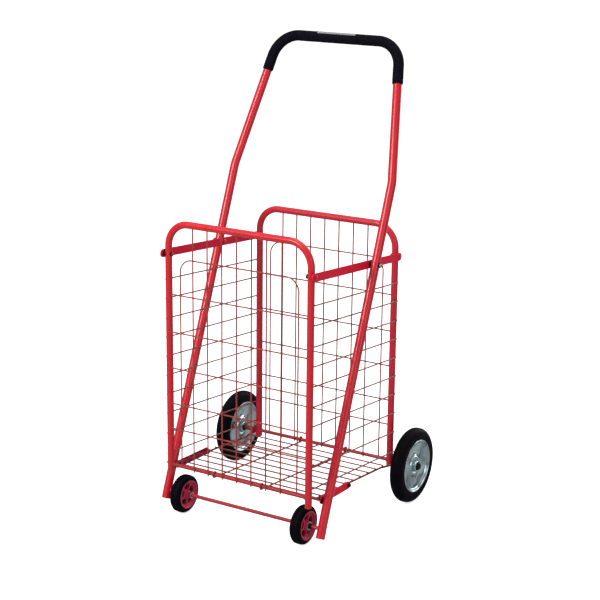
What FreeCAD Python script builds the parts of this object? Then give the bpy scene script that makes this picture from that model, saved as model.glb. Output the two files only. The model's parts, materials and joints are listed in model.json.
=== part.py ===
import FreeCAD, Part
import math
import os

# Folding wire basket trolley.  Millimetres.  +Z up, ground at Z = 0, the open
# face and the small wheels look to -Y, the big wheels are at +Y, +X is the
# right hand side.  Origin: on the ground, under the middle of the outer box.

V = FreeCAD.Vector
X_AXIS = V(1, 0, 0)

# ------------------------------------------------------------ main sizes
LEG_X = 175.0            # leg axis to centre line
FRONT_Y = -204.0         # plane of the front frame
DEPTH = 348.5            # front frame to rear frame
REAR_Y = FRONT_Y + DEPTH
DROP = 28.0              # rear frame sits this much lower than the front frame
FRONT_PIVOT_Z = 582.0    # arm pivot on the front legs
REAR_PIVOT_Z = FRONT_PIVOT_Z - DROP
SLOPE = math.atan2(DROP, DEPTH)

# frame tubes
TUBE_R = 7.5
TUBE_WALL = 1.5
TUBE_BEND = 50.0
TOP_RISE = 67.0          # arm pivot up to the top bar
FRONT_FOOT_Z = 90.0
REAR_FOOT_Z = 70.5
RAIL_DROP = 470.0        # arm pivot down to the bottom rail or axle
RAIL_R = 4.0
RAIL_Z = FRONT_PIVOT_Z - RAIL_DROP
AXLE_Z = REAR_PIVOT_Z - RAIL_DROP

# welded wire grid of each frame
WIRE_R = 1.55
UPRIGHT_PITCH = 36.5
UPRIGHTS_EACH_SIDE = 3
UPRIGHT_Y = -5.5         # uprights lie against the front of the rail
CROSSWIRE_Y = -2.45
CROSSWIRE_DROPS = (86.8, 169.5, 249.6, 329.4, 386.1)
HOOP_X = 146.0
HOOP_Y = 0.6
HOOP_DROP = 8.3
HOOP_BEND = 29.0
UPRIGHT_TAIL = 4.6       # upright ends this far below the rail axis
WELD_BITE = 2.0          # bars start this far past a leg axis, then are trimmed to the leg

# hinged side wires, outside the legs
SIDE_WIRE_X = 185.0
SIDE_WIRE_BEND = 2.8
SIDE_WIRE_END_X = 172.0
SIDE_WIRE_HOLE_R = 1.65
SIDE_WIRE_DROPS = (57.3, 99.2, 143.3, 185.0, 227.4, 270.2, 312.2, 355.8, 401.1, 447.8)

# arms
ARM_IN_X = 183.7
ARM_T = 3.0
ARM_HALF = 8.6
ARM_FRONT_TAIL = 6.0     # the round front end is centred this far past the front pivot
ARM_HANDLE_AT = 0.6275   # handle pivot, share of the arm from its front pivot
PIN_R = 3.0
RUNNING = 0.06           # radial play of a turning hole
PIN_IN_X = 163.8
PEEN_R = 4.3             # peened inner end of the pin
PEEN_T = 1.2
PIN_HEAD_IN_X = 186.85
PIN_HEAD_T = 1.5
PIN_HEAD_R = 5.5
SADDLE_R = 8.2           # black saddle washer between leg and arm
SADDLE_IN_X = 178.5
SADDLE_OUT_X = 183.55
CAP_R = 5.0              # black cap on the inner side of the leg
CAP_OUT_X = 171.0

# floor panel, measured square to the plane through both rails
FLOOR_WIRES = 9
FLOOR_PITCH = 33.85
FLOOR_WIRE_N = -2.9
FLOOR_WIRE_HALF = 180.5
TIE_R = 1.75
EYE_GAP = 0.3            # play of a wire eye on its rail
TIE_X = 60.0
EYE_TURN = 300.0         # degrees of rail a wire eye wraps
SIDE_ROD_R = 2.3
SIDE_ROD_X = 178.5
SIDE_ROD_EYE_X = 187.2
SIDE_ROD_END_U = 322.0
SIDE_ROD_BEND_U = (48.0, 15.0)
SIDE_ROD_BEND_R = 12.0
LINK_BOSS_U = 202.5
BOSS_R = 5.5
BOSS_IN_X = 176.6
BOSS_OUT_X = 182.6
BOSS_HOLE_R = 2.6

# handle
HANDLE_R = 9.5
HANDLE_WALL = 1.5
HANDLE_X = 198.3
HANDLE_TOP_X = 150.3
HANDLE_LEAN = math.radians(21.06)
HANDLE_FOOT_S = -579.9   # along the handle, from its arm pivot
HANDLE_KNEE_S = 175.6
HANDLE_TOP_S = 475.0
KNEE_BEND = 90.0
TOP_BEND = 60.0
GRIP_R = 12.0
GRIP_LEFT_S = 392.4      # the foam reaches down to here on the left leg
GRIP_RIGHT_S = 385.2     # and to here on the right leg
ROD_S = -501.6           # lower cross rod
ROD_R = 3.5
ROD_END_X = 206.8
ROD_TIP_R = 1.2          # pointed tail past the left handle leg
ROD_TIP_X = 217.0
FRONT_AXLE_R = 4.0
FRONT_AXLE_END_X = 204.0

# handle pivot hardware
BOLT_HEAD_R = 6.0
BOLT_HEAD_IN_X = 179.4
BOLT_HEAD_OUT_X = 183.5
BOLT_END_X = 211.0
SPACER_R = 8.0
SPACER_IN_X = 186.9
SPACER_OUT_X = 194.0
OUTER_WASHER_R = 5.5
OUTER_WASHER_IN_X = 204.0
OUTER_WASHER_OUT_X = 209.2
NUT_R = 4.2
NUT_OUT_X = 213.0
DISC_R = 8.0
INNER_DISC_X = (186.4, 192.0)
OUTER_DISC_R = 4.5       # push-on retainer, left end only
OUTER_DISC_X = (204.0, 211.0)

# lower links
LINK_IN_X = 183.0
LINK_T = 3.0
LINK_HALF = 8.0
RIVET_R = 2.5
RIVET_HEAD_R = 5.0
RIVET_HEAD_OUT_X = 191.0

# rear wheels
REAR_WHEEL_R = 84.0
REAR_TYRE_X = (216.0, 246.0)
REAR_TYRE_BORE = 58.5
REAR_TYRE_SHOULDER = 13.0
REAR_RIM_X = (219.5, 243.5)
REAR_RIM_WALL = 2.5
REAR_DISH_DEPTH = 10.0
REAR_DISH_R = 40.0
REAR_DISH_CROWN = 1.0    # the dish floor rises by this toward the hub
REAR_COLLAR_R = 22.0     # foot of the cone that rises to the hub
REAR_DISC_T = 1.6
REAR_HUB_R = 11.0
REAR_HUB_X = (214.2, 247.5)
REAR_HUB_STEP = 2.0      # the hub tube stands proud of the disc by this
AXLE_SPACER_R = 5.5
AXLE_SPACER_X = (190.0, 213.8)
AXLE_CAP_R = 8.5
AXLE_CAP_X = (247.9, 252.5)
AXLE_END_X = 250.5

# front wheels
FRONT_WHEEL_R = 42.0
FRONT_TYRE_X = (140.5, 165.5)
FRONT_TYRE_BORE = 29.5
FRONT_TYRE_SHOULDER = 8.0
FRONT_RIM_X = (139.5, 166.5)
FRONT_RIM_IN = 25.5
FRONT_LIP_FLARE = 2.0    # the rim opens by this toward its lip
FRONT_LIP_R = 31.5
FRONT_LIP_T = 1.0
FRONT_WEB_X = (150.0, 156.0)
FRONT_HUB_R = 9.0
FRONT_HUB_DRAFT = 1.0    # the hub widens by this toward the web
FRONT_WINDOWS = 5
FRONT_WINDOW_R = 5.2
FRONT_WINDOW_AT = 17.6
HUB_WASHER_R = 9.5
HUB_WASHER_X = (166.9, 168.2)
AXLE_NUT_R = 6.5
AXLE_NUT_X = (168.2, 174.5)
COLLAR_R = 7.0
COLLAR_X = (132.0, 139.1)

# the small wheels stand on the ground, which sets where their axle crosses the handle
FRONT_AXLE_S = (FRONT_WHEEL_R - FRONT_PIVOT_Z + ARM_HANDLE_AT * DROP) / math.cos(HANDLE_LEAN)

# hole cutters run past the metal by this much
OVERRUN = 1.0
# a line of this half length crosses the whole trolley
ACROSS = 260.0


# ------------------------------------------------------------ small helpers
def cylinder(start, end, radius):
    run = end - start
    return Part.makeCylinder(radius, run.Length, start, run)


def along_x(x_from, x_to, y, z, radius):
    return cylinder(V(x_from, y, z), V(x_to, y, z), radius)


def rounded_path(points, radii):
    """Straight runs joined by arcs; one radius for each inner point."""
    edges = []
    here = points[0]
    for i, radius in enumerate(radii):
        corner = points[i + 1]
        back = (here - corner).normalize()
        ahead = (points[i + 2] - corner).normalize()
        half = back.getAngle(ahead) / 2.0
        reach = radius / math.tan(half)
        bisector = (back + ahead).normalize()
        arc_start = corner + back * reach
        arc_end = corner + ahead * reach
        centre = corner + bisector * (radius / math.sin(half))
        arc_mid = centre - bisector * radius
        edges.append(Part.makeLine(here, arc_start))
        edges.append(Part.Arc(arc_start, arc_mid, arc_end).toShape())
        here = arc_end
    edges.append(Part.makeLine(here, points[-1]))
    return Part.Wire(edges)


def swept(path, radius):
    first = path.Edges[0]
    start = first.valueAt(first.FirstParameter)
    direction = first.tangentAt(first.FirstParameter)
    profile = Part.Wire(Part.makeCircle(radius, start, direction))
    return path.makePipeShell([profile], True, False)


def hollow(path, radius, wall):
    return swept(path, radius).cut(swept(path, radius - wall))


def ring(centre, ring_radius, wire_radius):
    return Part.makeTorus(ring_radius, wire_radius, centre, X_AXIS)


def strap(x_inner, thickness, start, end, half_height, holes):
    """Flat bar with round ends, holes given as (point, radius)."""
    along = (end - start).normalize()
    up = V(0, -along.z, along.y)
    a_top = start + up * half_height
    a_low = start - up * half_height
    b_top = end + up * half_height
    b_low = end - up * half_height
    outline = Part.Wire([
        Part.makeLine(a_top, b_top),
        Part.Arc(b_top, end + along * half_height, b_low).toShape(),
        Part.makeLine(b_low, a_low),
        Part.Arc(a_low, start - along * half_height, a_top).toShape(),
    ])
    outline.translate(V(x_inner, 0, 0))
    bar = Part.Face(outline).extrude(V(thickness, 0, 0))
    for point, radius in holes:
        hole = along_x(x_inner - OVERRUN, x_inner + thickness + OVERRUN, point.y, point.z, radius)
        bar = bar.cut(hole)
    return bar


def turned(profile_points, y, z):
    """Solid of revolution about the X line through (y, z); points are (x, radius)."""
    corners = [V(x, y, z + radius) for x, radius in profile_points]
    outline = Part.makePolygon(corners + [corners[0]])
    return Part.Face(outline).revolve(V(0, y, z), X_AXIS, 360)


def tyre_ring(x_range, bore, radius, shoulder, y, z):
    x0, x1 = x_range
    diagonal = shoulder * (1 - math.sqrt(0.5))
    edge = radius - shoulder

    def at(x, r):
        return V(x, y, z + r)

    outline = Part.Wire([
        Part.makeLine(at(x0, bore), at(x0, edge)),
        Part.Arc(at(x0, edge), at(x0 + diagonal, radius - diagonal), at(x0 + shoulder, radius)).toShape(),
        Part.makeLine(at(x0 + shoulder, radius), at(x1 - shoulder, radius)),
        Part.Arc(at(x1 - shoulder, radius), at(x1 - diagonal, radius - diagonal), at(x1, edge)).toShape(),
        Part.makeLine(at(x1, edge), at(x1, bore)),
        Part.makeLine(at(x1, bore), at(x0, bore)),
    ])
    return Part.Face(outline).revolve(V(0, y, z), X_AXIS, 360)


def other_side(shape):
    return shape.mirror(V(0, 0, 0), X_AXIS)


def both_sides(shape):
    return Part.makeCompound([shape, other_side(shape)])


def save(name, shape):
    shape.exportStep("parts/" + name + ".step")


# ------------------------------------------------------------ the two frames
def leg_blanks(y):
    """Solid bars in the place of both legs, used to trim what meets them."""
    right = cylinder(V(LEG_X, y, 0), V(LEG_X, y, FRONT_PIVOT_Z + TUBE_BEND / 2), TUBE_R)
    return both_sides(right)


def frame_tube(y, pivot_z, foot_z):
    top_z = pivot_z + TOP_RISE
    path = rounded_path(
        [V(-LEG_X, y, foot_z), V(-LEG_X, y, top_z), V(LEG_X, y, top_z), V(LEG_X, y, foot_z)],
        [TUBE_BEND, TUBE_BEND])
    tube = hollow(path, TUBE_R, TUBE_WALL)
    holes = [along_x(-ACROSS, ACROSS, y, pivot_z, PIN_R)]
    for drop in SIDE_WIRE_DROPS:
        hole = along_x(LEG_X, LEG_X + 2 * TUBE_R, y, pivot_z - drop, SIDE_WIRE_HOLE_R)
        holes.append(both_sides(hole))
    return tube.cut(Part.makeCompound(holes))


def uprights(y, pivot_z):
    wire_y = y + UPRIGHT_Y
    top_z = pivot_z + TOP_RISE
    low_z = pivot_z - RAIL_DROP - UPRIGHT_TAIL
    top_bar = along_x(-LEG_X, LEG_X, y, top_z, TUBE_R)
    wires = []
    for i in range(-UPRIGHTS_EACH_SIDE, UPRIGHTS_EACH_SIDE + 1):
        x = i * UPRIGHT_PITCH
        wire = cylinder(V(x, wire_y, low_z), V(x, wire_y, top_z - TUBE_R / 2), WIRE_R)
        wires.append(wire.cut(top_bar))
    return Part.makeCompound(wires)


def crosswires(y, pivot_z):
    legs = leg_blanks(y)
    wires = []
    for drop in CROSSWIRE_DROPS:
        wire = along_x(WELD_BITE - LEG_X, LEG_X - WELD_BITE, y + CROSSWIRE_Y, pivot_z - drop, WIRE_R)
        wires.append(wire.cut(legs))
    return Part.makeCompound(wires)


def hoop(y, pivot_z):
    wire_y = y + HOOP_Y
    rail_z = pivot_z - RAIL_DROP
    top_z = pivot_z - HOOP_DROP
    path = rounded_path(
        [V(-HOOP_X, wire_y, rail_z), V(-HOOP_X, wire_y, top_z),
         V(HOOP_X, wire_y, top_z), V(HOOP_X, wire_y, rail_z)],
        [HOOP_BEND, HOOP_BEND])
    return swept(path, WIRE_R).cut(along_x(-LEG_X, LEG_X, y, rail_z, RAIL_R))


def pivot_pin(y, z):
    peen = along_x(PIN_IN_X, PIN_IN_X + PEEN_T, y, z, PEEN_R)
    shank = along_x(PIN_IN_X, PIN_HEAD_IN_X, y, z, PIN_R)
    head = along_x(PIN_HEAD_IN_X, PIN_HEAD_IN_X + PIN_HEAD_T, y, z, PIN_HEAD_R)
    return peen.fuse(shank).fuse(head)


def pivot_saddle(y, z):
    disc = along_x(SADDLE_IN_X, SADDLE_OUT_X, y, z, SADDLE_R)
    return disc.cut(leg_blanks(y)).cut(along_x(0, ACROSS, y, z, PIN_R))


def pivot_cap(y, z):
    cap = along_x(PIN_IN_X + PEEN_T, CAP_OUT_X, y, z, CAP_R)
    return cap.cut(leg_blanks(y)).cut(along_x(0, ACROSS, y, z, PIN_R))


def save_frame(prefix, y, pivot_z):
    save(prefix + "_uprights", uprights(y, pivot_z))
    save(prefix + "_crosswires", crosswires(y, pivot_z))
    save(prefix + "_hoop", hoop(y, pivot_z))
    save(prefix + "_arm_pins", both_sides(pivot_pin(y, pivot_z)))
    save(prefix + "_arm_saddles", both_sides(pivot_saddle(y, pivot_z)))
    save(prefix + "_pin_caps", both_sides(pivot_cap(y, pivot_z)))


def front_frame():
    save_frame("front", FRONT_Y, FRONT_PIVOT_Z)
    save("front_frame_tube", frame_tube(FRONT_Y, FRONT_PIVOT_Z, FRONT_FOOT_Z))
    rail = along_x(WELD_BITE - LEG_X, LEG_X - WELD_BITE, FRONT_Y, RAIL_Z, RAIL_R)
    save("front_rail", rail.cut(leg_blanks(FRONT_Y)))


def rear_frame():
    save_frame("rear", REAR_Y, REAR_PIVOT_Z)
    axle = along_x(-AXLE_END_X, AXLE_END_X, REAR_Y, AXLE_Z, RAIL_R)
    save("rear_frame_tube", frame_tube(REAR_Y, REAR_PIVOT_Z, REAR_FOOT_Z).cut(axle))
    save("rear_axle", axle)
    spacer = along_x(AXLE_SPACER_X[0], AXLE_SPACER_X[1], REAR_Y, AXLE_Z, AXLE_SPACER_R)
    save("rear_axle_spacers", both_sides(spacer.cut(axle)))
    cap = along_x(AXLE_CAP_X[0], AXLE_CAP_X[1], REAR_Y, AXLE_Z, AXLE_CAP_R)
    save("rear_axle_caps", both_sides(cap.cut(axle)))


# ------------------------------------------------------------ arms and side wires
def arm_point(share):
    return V(0, FRONT_Y + share * DEPTH, FRONT_PIVOT_Z - share * DROP)


def arms():
    hole_r = PIN_R + RUNNING
    holes = [(arm_point(share), hole_r) for share in (0.0, ARM_HANDLE_AT, 1.0)]
    front_end = arm_point(-ARM_FRONT_TAIL / DEPTH)
    right = strap(ARM_IN_X, ARM_T, front_end, arm_point(1.0), ARM_HALF, holes)
    save("arm_right", right)
    save("arm_left", other_side(right))


def side_wires():
    for number, drop in enumerate(SIDE_WIRE_DROPS, start=1):
        rear_z = REAR_PIVOT_Z - drop
        front_z = FRONT_PIVOT_Z - drop
        path = rounded_path(
            [V(SIDE_WIRE_END_X, REAR_Y, rear_z), V(SIDE_WIRE_X, REAR_Y, rear_z),
             V(SIDE_WIRE_X, FRONT_Y, front_z), V(SIDE_WIRE_END_X, FRONT_Y, front_z)],
            [SIDE_WIRE_BEND, SIDE_WIRE_BEND])
        save("side_wires_%02d" % number, both_sides(swept(path, WIRE_R)))


# ------------------------------------------------------------ floor panel
FLOOR_LENGTH = math.hypot(DEPTH, DROP)


def floor_point(x, u, n):
    """u runs forward from the rear axle, n is square to the panel, upward."""
    y = REAR_Y - u * math.cos(SLOPE) + n * math.sin(SLOPE)
    z = AXLE_Z + u * math.sin(SLOPE) + n * math.cos(SLOPE)
    return V(x, y, z)


def floor_crosswires():
    wires = []
    for i in range(FLOOR_WIRES):
        u = FLOOR_LENGTH / 2 + (i - (FLOOR_WIRES - 1) / 2) * FLOOR_PITCH
        left = floor_point(-FLOOR_WIRE_HALF, u, FLOOR_WIRE_N)
        right = floor_point(FLOOR_WIRE_HALF, u, FLOOR_WIRE_N)
        wires.append(cylinder(left, right, WIRE_R))
    save("floor_crosswires", Part.makeCompound(wires))


def arc_point(u, n, radius, degrees, x):
    """Point on a circle square to X; 0 degrees is down, turning toward +u."""
    angle = math.radians(degrees)
    return floor_point(x, u + radius * math.sin(angle), n - radius * math.cos(angle))


def eye_arc(x, u, radius, turn_from, turn_to):
    """Open wire eye around a rail; a turn of 0 is under the rail."""
    start = arc_point(u, 0, radius, turn_from, x)
    middle = arc_point(u, 0, radius, (turn_from + turn_to) / 2, x)
    end = arc_point(u, 0, radius, turn_to, x)
    return Part.Arc(start, middle, end).toShape()


def floor_ties():
    eye_r = RAIL_R + EYE_GAP + TIE_R
    bar = Part.makeLine(floor_point(TIE_X, 0, -eye_r), floor_point(TIE_X, FLOOR_LENGTH, -eye_r))
    rear_eye = eye_arc(TIE_X, 0, eye_r, -EYE_TURN, 0)
    front_eye = eye_arc(TIE_X, FLOOR_LENGTH, eye_r, 0, EYE_TURN)
    save("floor_ties", both_sides(swept(Part.Wire([rear_eye, bar, front_eye]), TIE_R)))


def side_rod_depth():
    return RAIL_R + EYE_GAP + SIDE_ROD_R


def link_boss_point():
    return floor_point(0, LINK_BOSS_U, -side_rod_depth())


def floor_side_rods():
    eye_r = side_rod_depth()
    path = rounded_path(
        [floor_point(SIDE_ROD_X, SIDE_ROD_END_U, -eye_r),
         floor_point(SIDE_ROD_X, SIDE_ROD_BEND_U[0], -eye_r),
         floor_point(SIDE_ROD_EYE_X, SIDE_ROD_BEND_U[1], -eye_r),
         floor_point(SIDE_ROD_EYE_X, 0, -eye_r)],
        [SIDE_ROD_BEND_R, SIDE_ROD_BEND_R])
    eye = ring(floor_point(SIDE_ROD_EYE_X, 0, 0), eye_r, SIDE_ROD_R)
    pivot = link_boss_point()
    boss = along_x(BOSS_IN_X, BOSS_OUT_X, pivot.y, pivot.z, BOSS_R)
    hole = along_x(BOSS_IN_X - OVERRUN, BOSS_OUT_X + OVERRUN, pivot.y, pivot.z, BOSS_HOLE_R)
    right = swept(path, SIDE_ROD_R).fuse(eye).fuse(boss).cut(hole)
    save("floor_side_rod_right", right)
    save("floor_side_rod_left", other_side(right))


# ------------------------------------------------------------ handle
def handle_point(x, s):
    pivot = arm_point(ARM_HANDLE_AT)
    return V(x, pivot.y + s * math.sin(HANDLE_LEAN), pivot.z + s * math.cos(HANDLE_LEAN))


def handle_leg_blank():
    """Solid bar in the place of the right leg's lower stretch, used to trim what meets it."""
    top = handle_point(HANDLE_X, HANDLE_KNEE_S - KNEE_BEND)
    return cylinder(handle_point(HANDLE_X, HANDLE_FOOT_S), top, HANDLE_R)


def handle_x_at(s):
    share = (s - HANDLE_KNEE_S) / (HANDLE_TOP_S - HANDLE_KNEE_S)
    return HANDLE_X + share * (HANDLE_TOP_X - HANDLE_X)


def on_handle_leg(x_range, s, radius, bore):
    """Disc around the leg axis line, hollowed to sit on the tube."""
    centre = handle_point(0, s)
    disc = along_x(x_range[0], x_range[1], centre.y, centre.z, radius)
    hole = along_x(0, 2 * HANDLE_X, centre.y, centre.z, bore)
    return disc.cut(handle_leg_blank()).cut(hole)


def handle_tube():
    path = rounded_path(
        [handle_point(-HANDLE_X, HANDLE_FOOT_S), handle_point(-HANDLE_X, HANDLE_KNEE_S),
         handle_point(-HANDLE_TOP_X, HANDLE_TOP_S), handle_point(HANDLE_TOP_X, HANDLE_TOP_S),
         handle_point(HANDLE_X, HANDLE_KNEE_S), handle_point(HANDLE_X, HANDLE_FOOT_S)],
        [KNEE_BEND, TOP_BEND, TOP_BEND, KNEE_BEND])
    tube = hollow(path, HANDLE_R, HANDLE_WALL)
    pivot = handle_point(0, 0)
    rod = handle_point(0, ROD_S)
    axle = handle_point(0, FRONT_AXLE_S)
    holes = Part.makeCompound([
        along_x(-ACROSS, ACROSS, pivot.y, pivot.z, PIN_R),
        along_x(-ACROSS, ACROSS, rod.y, rod.z, ROD_R),
        along_x(-FRONT_AXLE_END_X, FRONT_AXLE_END_X, axle.y, axle.z, FRONT_AXLE_R),
    ])
    save("handle_tube", tube.cut(holes))


def handle_grip():
    path = rounded_path(
        [handle_point(-handle_x_at(GRIP_LEFT_S), GRIP_LEFT_S), handle_point(-HANDLE_TOP_X, HANDLE_TOP_S),
         handle_point(HANDLE_TOP_X, HANDLE_TOP_S), handle_point(handle_x_at(GRIP_RIGHT_S), GRIP_RIGHT_S)],
        [TOP_BEND, TOP_BEND])
    save("handle_grip", hollow(path, GRIP_R, GRIP_R - HANDLE_R))


def handle_hardware():
    pivot = handle_point(0, 0)
    shank = along_x(BOLT_HEAD_OUT_X, BOLT_END_X, pivot.y, pivot.z, PIN_R)
    head = along_x(BOLT_HEAD_IN_X, BOLT_HEAD_OUT_X, pivot.y, pivot.z, BOLT_HEAD_R)
    save("handle_bolts", both_sides(shank.fuse(head)))
    spacer = on_handle_leg((SPACER_IN_X, SPACER_OUT_X), 0, SPACER_R, PIN_R)
    save("handle_spacers", both_sides(spacer))
    washer = on_handle_leg((OUTER_WASHER_IN_X, OUTER_WASHER_OUT_X), 0, OUTER_WASHER_R, PIN_R)
    save("handle_washers", both_sides(washer))
    nut = along_x(OUTER_WASHER_OUT_X, NUT_OUT_X, pivot.y, pivot.z, NUT_R)
    bolt_hole = along_x(OUTER_WASHER_OUT_X, BOLT_END_X, pivot.y, pivot.z, PIN_R)
    save("handle_nuts", both_sides(nut.cut(bolt_hole)))


def lower_rod():
    centre = handle_point(0, ROD_S)
    bar = along_x(-ROD_END_X, ROD_END_X, centre.y, centre.z, ROD_R)
    rod = bar.fuse(along_x(-ROD_TIP_X, -ROD_END_X, centre.y, centre.z, ROD_TIP_R))
    save("lower_rod", rod)
    inner = on_handle_leg(INNER_DISC_X, ROD_S, DISC_R, ROD_R)
    retainer = other_side(on_handle_leg(OUTER_DISC_X, ROD_S, OUTER_DISC_R, ROD_TIP_R)).cut(rod)
    save("lower_rod_discs", Part.makeCompound([inner, other_side(inner), retainer]))


def lower_links():
    front = handle_point(0, ROD_S)
    rear = link_boss_point()
    holes = [(front, ROD_R + RUNNING), (rear, RIVET_R)]
    right = strap(LINK_IN_X, LINK_T, front, rear, LINK_HALF, holes)
    save("lower_link_right", right)
    save("lower_link_left", other_side(right))
    shank = along_x(LINK_IN_X, LINK_IN_X + LINK_T, rear.y, rear.z, RIVET_R)
    head = along_x(LINK_IN_X + LINK_T, RIVET_HEAD_OUT_X, rear.y, rear.z, RIVET_HEAD_R)
    save("lower_link_rivets", both_sides(shank.fuse(head)))


# ------------------------------------------------------------ wheels
def front_wheels():
    centre = handle_point(0, FRONT_AXLE_S)
    y = centre.y
    z = centre.z
    save("front_axle", along_x(-FRONT_AXLE_END_X, FRONT_AXLE_END_X, y, z, FRONT_AXLE_R))
    tyre = tyre_ring(FRONT_TYRE_X, FRONT_TYRE_BORE, FRONT_WHEEL_R, FRONT_TYRE_SHOULDER, y, z)
    lip_in = FRONT_TYRE_X[0] - FRONT_LIP_T
    lip_out = FRONT_TYRE_X[1] + FRONT_LIP_T
    rim_mouth = FRONT_RIM_IN + FRONT_LIP_FLARE
    hub_foot = FRONT_HUB_R + FRONT_HUB_DRAFT
    rim = turned([
        (lip_in, rim_mouth), (lip_in, FRONT_LIP_R), (FRONT_TYRE_X[0], FRONT_LIP_R),
        (FRONT_TYRE_X[0], FRONT_TYRE_BORE), (FRONT_TYRE_X[1], FRONT_TYRE_BORE),
        (FRONT_TYRE_X[1], FRONT_LIP_R), (lip_out, FRONT_LIP_R), (lip_out, rim_mouth),
        (FRONT_WEB_X[1], FRONT_RIM_IN), (FRONT_WEB_X[1], hub_foot),
        (FRONT_RIM_X[1], FRONT_HUB_R), (FRONT_RIM_X[1], FRONT_AXLE_R + RUNNING),
        (FRONT_RIM_X[0], FRONT_AXLE_R + RUNNING), (FRONT_RIM_X[0], FRONT_HUB_R),
        (FRONT_WEB_X[0], hub_foot), (FRONT_WEB_X[0], FRONT_RIM_IN)], y, z)
    for i in range(FRONT_WINDOWS):
        turn = 2 * math.pi * i / FRONT_WINDOWS
        window_y = y + FRONT_WINDOW_AT * math.sin(turn)
        window_z = z + FRONT_WINDOW_AT * math.cos(turn)
        web_x = (FRONT_WEB_X[0] - OVERRUN, FRONT_WEB_X[1] + OVERRUN)
        rim = rim.cut(along_x(web_x[0], web_x[1], window_y, window_z, FRONT_WINDOW_R))
    axle_r = FRONT_AXLE_R
    save("front_right_tyre", tyre)
    save("front_left_tyre", other_side(tyre))
    save("front_right_rim", rim)
    save("front_left_rim", other_side(rim))
    washer = on_handle_leg(HUB_WASHER_X, FRONT_AXLE_S, HUB_WASHER_R, axle_r)
    save("front_axle_washers", both_sides(washer))
    nut = on_handle_leg(AXLE_NUT_X, FRONT_AXLE_S, AXLE_NUT_R, axle_r)
    save("front_axle_nuts", both_sides(nut))
    collar = on_handle_leg(COLLAR_X, FRONT_AXLE_S, COLLAR_R, axle_r)
    save("front_axle_collars", both_sides(collar))


def rear_rim(y, z):
    x0, x1 = REAR_RIM_X
    middle = (x0 + x1) / 2
    dish_x = x1 - REAR_DISH_DEPTH
    hub_top = REAR_HUB_X[1] - REAR_HUB_STEP
    crown_x = dish_x + REAR_DISH_CROWN
    seat = REAR_TYRE_BORE
    wall_in = seat - REAR_RIM_WALL
    hub_r = REAR_HUB_R
    thick = REAR_DISC_T
    outer_half = turned([
        (middle, seat), (x1, seat), (x1, wall_in), (dish_x, REAR_DISH_R),
        (crown_x, REAR_COLLAR_R), (hub_top, hub_r), (hub_top, hub_r - thick),
        (crown_x - thick, REAR_COLLAR_R - thick), (dish_x - thick, REAR_DISH_R + thick / 2),
        (x1 - 2 * thick, wall_in - thick / 2), (middle, wall_in)], y, z)
    inner_half = outer_half.mirror(V(middle, 0, 0), X_AXIS)
    return outer_half.fuse(inner_half)


def rear_wheels():
    tyre = tyre_ring(REAR_TYRE_X, REAR_TYRE_BORE, REAR_WHEEL_R, REAR_TYRE_SHOULDER, REAR_Y, AXLE_Z)
    rim = rear_rim(REAR_Y, AXLE_Z)
    hub = along_x(REAR_HUB_X[0], REAR_HUB_X[1], REAR_Y, AXLE_Z, REAR_HUB_R - REAR_DISC_T)
    hub = hub.cut(along_x(0, AXLE_END_X, REAR_Y, AXLE_Z, RAIL_R + RUNNING))
    save("rear_right_tyre", tyre)
    save("rear_left_tyre", other_side(tyre))
    save("rear_right_rim", rim)
    save("rear_left_rim", other_side(rim))
    save("rear_right_hub", hub)
    save("rear_left_hub", other_side(hub))


os.makedirs("parts", exist_ok=True)
front_frame()
rear_frame()
arms()
side_wires()
floor_crosswires()
floor_ties()
floor_side_rods()
handle_tube()
handle_grip()
handle_hardware()
lower_rod()
lower_links()
front_wheels()
rear_wheels()
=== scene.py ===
"""Looks of the folding basket trolley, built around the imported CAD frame.  Metres."""
import json
import math

import bmesh
import bpy
from mathutils import Matrix, Vector, noise


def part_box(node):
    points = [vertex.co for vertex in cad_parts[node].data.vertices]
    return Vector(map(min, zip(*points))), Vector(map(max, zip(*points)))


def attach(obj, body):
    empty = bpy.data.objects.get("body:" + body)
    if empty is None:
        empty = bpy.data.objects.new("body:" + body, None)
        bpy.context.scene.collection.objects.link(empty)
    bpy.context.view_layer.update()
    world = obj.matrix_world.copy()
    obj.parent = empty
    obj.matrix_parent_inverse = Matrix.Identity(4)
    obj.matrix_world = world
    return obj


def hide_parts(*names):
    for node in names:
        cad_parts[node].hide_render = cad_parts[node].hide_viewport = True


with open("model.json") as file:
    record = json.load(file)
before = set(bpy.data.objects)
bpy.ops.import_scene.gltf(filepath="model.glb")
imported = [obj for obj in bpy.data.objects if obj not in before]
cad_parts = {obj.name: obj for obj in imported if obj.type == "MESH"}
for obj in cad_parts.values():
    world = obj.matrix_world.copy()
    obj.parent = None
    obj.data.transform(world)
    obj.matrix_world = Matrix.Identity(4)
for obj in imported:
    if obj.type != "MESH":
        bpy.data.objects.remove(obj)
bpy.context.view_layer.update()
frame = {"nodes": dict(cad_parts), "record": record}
nodes = frame["nodes"]
record = frame["record"]
joint_place = {joint["name"]: Vector(joint["pos_m"]) for joint in record["behaviour"]["joints"]}
mount_place = {mount["name"]: Vector(mount["pos_m"]) for mount in record["mounts"]}
MM = 0.001
SIDES = (("left", -1.0), ("right", 1.0))


# ------------------------------------------------------------ material helpers
RANGE_SOCKETS = ("From Min", "From Max", "To Min", "To Max")


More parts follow.
